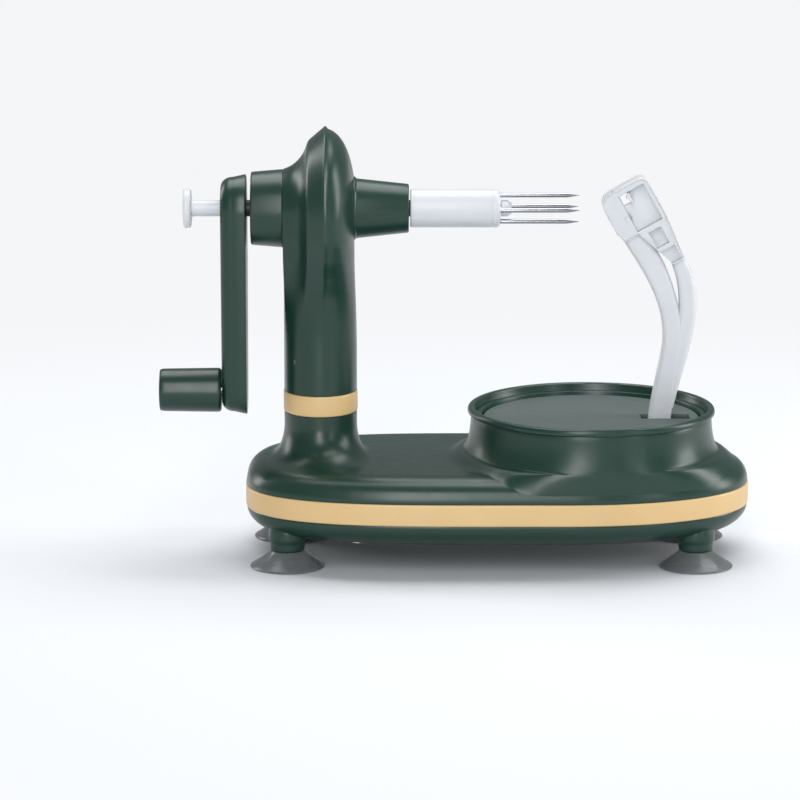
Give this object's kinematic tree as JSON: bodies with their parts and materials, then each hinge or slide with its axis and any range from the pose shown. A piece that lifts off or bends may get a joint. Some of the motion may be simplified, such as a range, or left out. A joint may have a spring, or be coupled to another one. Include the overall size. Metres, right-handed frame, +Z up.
{
  "type": "apple peeler",
  "caption": "Hand-cranked apple peeler: a crank turns a fork on a column, and gears carry a sprung blade arm round the fruit on a turntable.",
  "frame": {"origin": "centre of the bounding box on the plane that the suction cups stand on", "axes": "+X from the column towards the turntable, along the crank and fork axis; +Z up"},
  "size_m": [0.2199, 0.094, 0.1605],
  "materials": {
    "green_gloss": "gloss",
    "gold_trim": "satin",
    "turntable_green": "matte",
    "white_plastic": "satin",
    "clear_vinyl": "translucent gloss",
    "polished_steel": "polished",
    "plain_steel": "satin",
    "acetal": "satin",
    "bronze": "satin",
    "black_plastic": "matte"
  },
  "bodies": {
    "base": {"base_top_shell": "green_gloss", "base_bottom_pan": "green_gloss", "base_trim_band": "gold_trim", "column_trim_band": "gold_trim", "suction_cups": "clear_vinyl", "base_screws": "plain_steel", "gear_housing_left": "green_gloss", "gear_housing_right": "green_gloss", "housing_screws": "plain_steel", "crank_bearing_cap": "green_gloss", "nose_cone": "green_gloss", "crank_bush": "bronze", "nose_bush": "bronze", "upper_shaft_bush": "acetal", "lower_shaft_bush": "acetal", "dish_rim_ring": "green_gloss", "gear_axles": "plain_steel", "axle_clips": "plain_steel", "turntable_spindle": "plain_steel", "thrust_washer": "bronze"},
    "crank": {"crank_arm": "green_gloss", "main_shaft": "polished_steel", "main_bevel_gear": "acetal", "fork_tube": "white_plastic", "fork_pins": "polished_steel", "knob_axle": "polished_steel", "ejector_spring": "plain_steel"},
    "knob": {"handle_knob": "green_gloss", "knob_end_cap": "green_gloss"},
    "ejector": {"ejector_button": "white_plastic", "ejector_rod": "polished_steel", "ejector_tip": "white_plastic"},
    "upright": {"vertical_shaft": "plain_steel", "vertical_bevel_gear": "acetal", "shaft_pinion": "acetal"},
    "first_gear": {"first_reduction_gear": "acetal"},
    "second_gear": {"second_reduction_gear": "acetal"},
    "turntable": {"turntable_disc": "turntable_green", "turntable_gear": "acetal", "arm_pivot_bracket": "black_plastic", "arm_pivot_pin": "polished_steel", "arm_spring": "plain_steel"},
    "arm": {"peeling_arm": "white_plastic", "blade_holder": "white_plastic", "blade_pin": "polished_steel"},
    "blade": {"peeler_blade": "polished_steel"}
  },
  "joints": [
    {"name": "crank_turn", "type": "hinge", "parent": "base", "child": "crank", "pos_m": [-0.05, 0, 0.13], "axis": [1, 0, 0], "range_deg": [-2340, 2340]},
    {"name": "upright_turn", "type": "hinge", "parent": "base", "child": "upright", "pos_m": [-0.05, 0, 0.06], "axis": [0, 0, 1], "range_deg": [-2340.5, 2340.5]},
    {"name": "first_gear_turn", "type": "hinge", "parent": "base", "child": "first_gear", "pos_m": [-0.02, 0, 0.02], "axis": [0, 0, 1], "range_deg": [-851.11, 851.11]},
    {"name": "second_gear_turn", "type": "hinge", "parent": "base", "child": "second_gear", "pos_m": [0.01, 0, 0.02], "axis": [0, 0, 1], "range_deg": [-309.52, 309.52]},
    {"name": "turntable_turn", "type": "hinge", "parent": "base", "child": "turntable", "pos_m": [0.051, 0, 0.03], "axis": [0, 0, 1], "range_deg": [-75.03, 75.03]},
    {"name": "arm_tilt", "type": "hinge", "parent": "turntable", "child": "arm", "pos_m": [0.075, 0, 0.0395], "axis": [0, 1, 0], "range_deg": [0, 22], "stiffness_Nm_per_rad": 0.08, "springref_deg": -20.05},
    {"name": "blade_swivel", "type": "hinge", "parent": "arm", "child": "blade", "pos_m": [0.06351, 0, 0.12665], "axis": [0, 1, 0], "range_deg": [-8, 8]},
    {"name": "ejector_slide", "type": "slide", "parent": "crank", "child": "ejector", "axis": [1, 0, 0], "range_m": [0, 0.008], "stiffness_N_per_m": 120, "springref_m": -0.004, "deforming": ["ejector_spring"]},
    {"name": "knob_spin", "type": "hinge", "parent": "crank", "child": "knob", "pos_m": [-0.098, 0, 0.0615], "axis": [1, 0, 0], "continuous": true}
  ],
  "couplings": [
    {"joint": "upright_turn", "follows": "crank_turn", "ratio": -1},
    {"joint": "first_gear_turn", "follows": "crank_turn", "ratio": 0.36364},
    {"joint": "second_gear_turn", "follows": "crank_turn", "ratio": -0.13223},
    {"joint": "turntable_turn", "follows": "crank_turn", "ratio": 0.032056}
  ]
}
